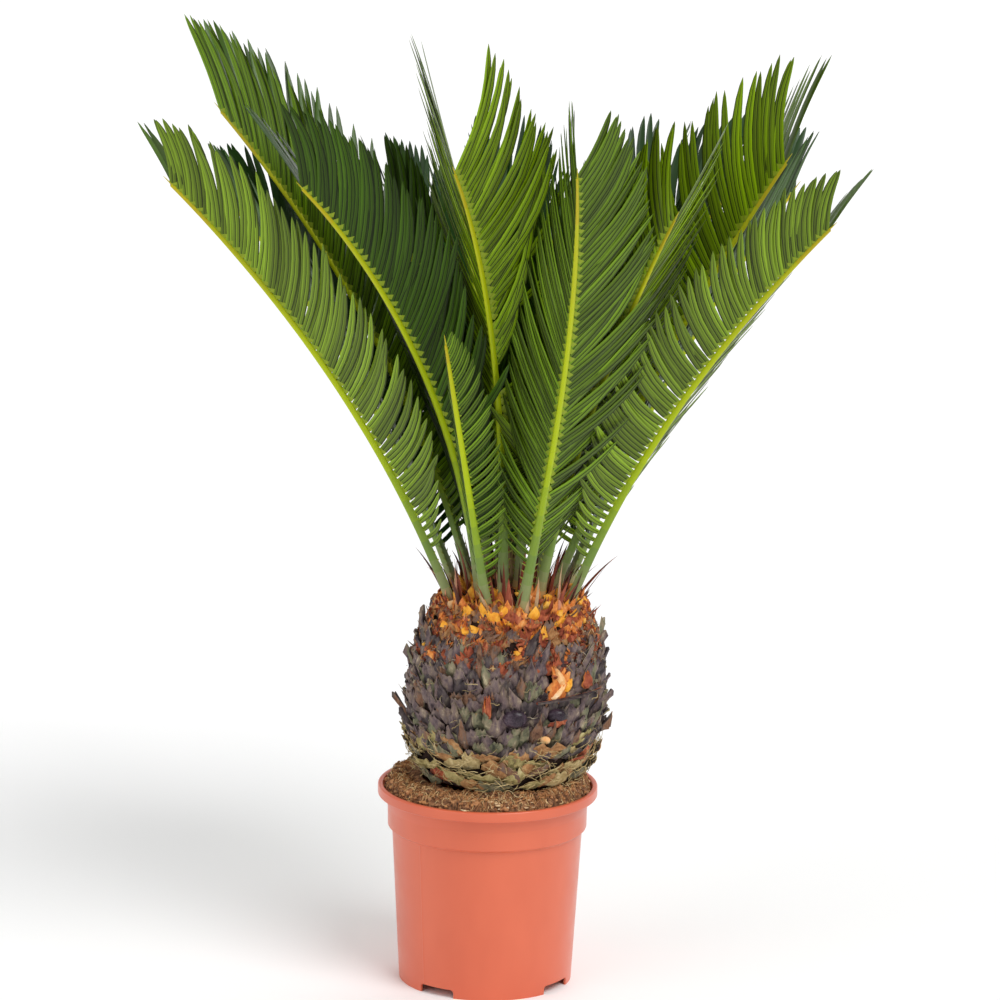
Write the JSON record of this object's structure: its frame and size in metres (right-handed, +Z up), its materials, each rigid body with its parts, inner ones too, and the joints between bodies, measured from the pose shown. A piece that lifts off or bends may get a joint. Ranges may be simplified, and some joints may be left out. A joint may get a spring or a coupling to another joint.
{
  "type": "sago palm in a nursery pot",
  "caption": "Young sago palm with a squat scaly trunk and a crown of stiff feather fronds, in a plain round nursery pot.",
  "frame": {"origin": "centre of the pot's flat underside, on the surface that the pot stands on", "axes": "+Z up along the pot's axis, -Y towards the front of the plant, +X to its right"},
  "size_m": [0.6067, 0.5605, 0.8634],
  "materials": {
    "pot": "satin terracotta-coloured moulded plastic",
    "soil": "rough fibrous peat",
    "trunk": "rough overlapping dried leaf bases",
    "cataphylls": "dry red-brown woody scale",
    "fronds": "waxy leaf with a soft sheen"
  },
  "bodies": {
    "root": {"cataphyll_01": "cataphylls", "cataphyll_02": "cataphylls", "cataphyll_03": "cataphylls", "cataphyll_04": "cataphylls", "cataphyll_05": "cataphylls", "cataphyll_06": "cataphylls", "cataphyll_07": "cataphylls", "cataphyll_08": "cataphylls", "cataphyll_09": "cataphylls", "cataphyll_10": "cataphylls", "cataphyll_11": "cataphylls", "cataphyll_12": "cataphylls", "crown_heart": "cataphylls", "frond_01": "fronds", "frond_02": "fronds", "frond_03": "fronds", "frond_04": "fronds", "frond_05": "fronds", "frond_06": "fronds", "frond_07": "fronds", "frond_08": "fronds", "frond_09": "fronds", "frond_10": "fronds", "frond_11": "fronds", "frond_12": "fronds", "frond_13": "fronds", "frond_14": "fronds", "frond_15": "fronds", "frond_16": "fronds", "frond_17": "fronds", "frond_18": "fronds", "frond_19": "fronds", "frond_20": "fronds", "pot": "pot", "soil": "soil", "trunk": "trunk"}
  },
  "joints": []
}
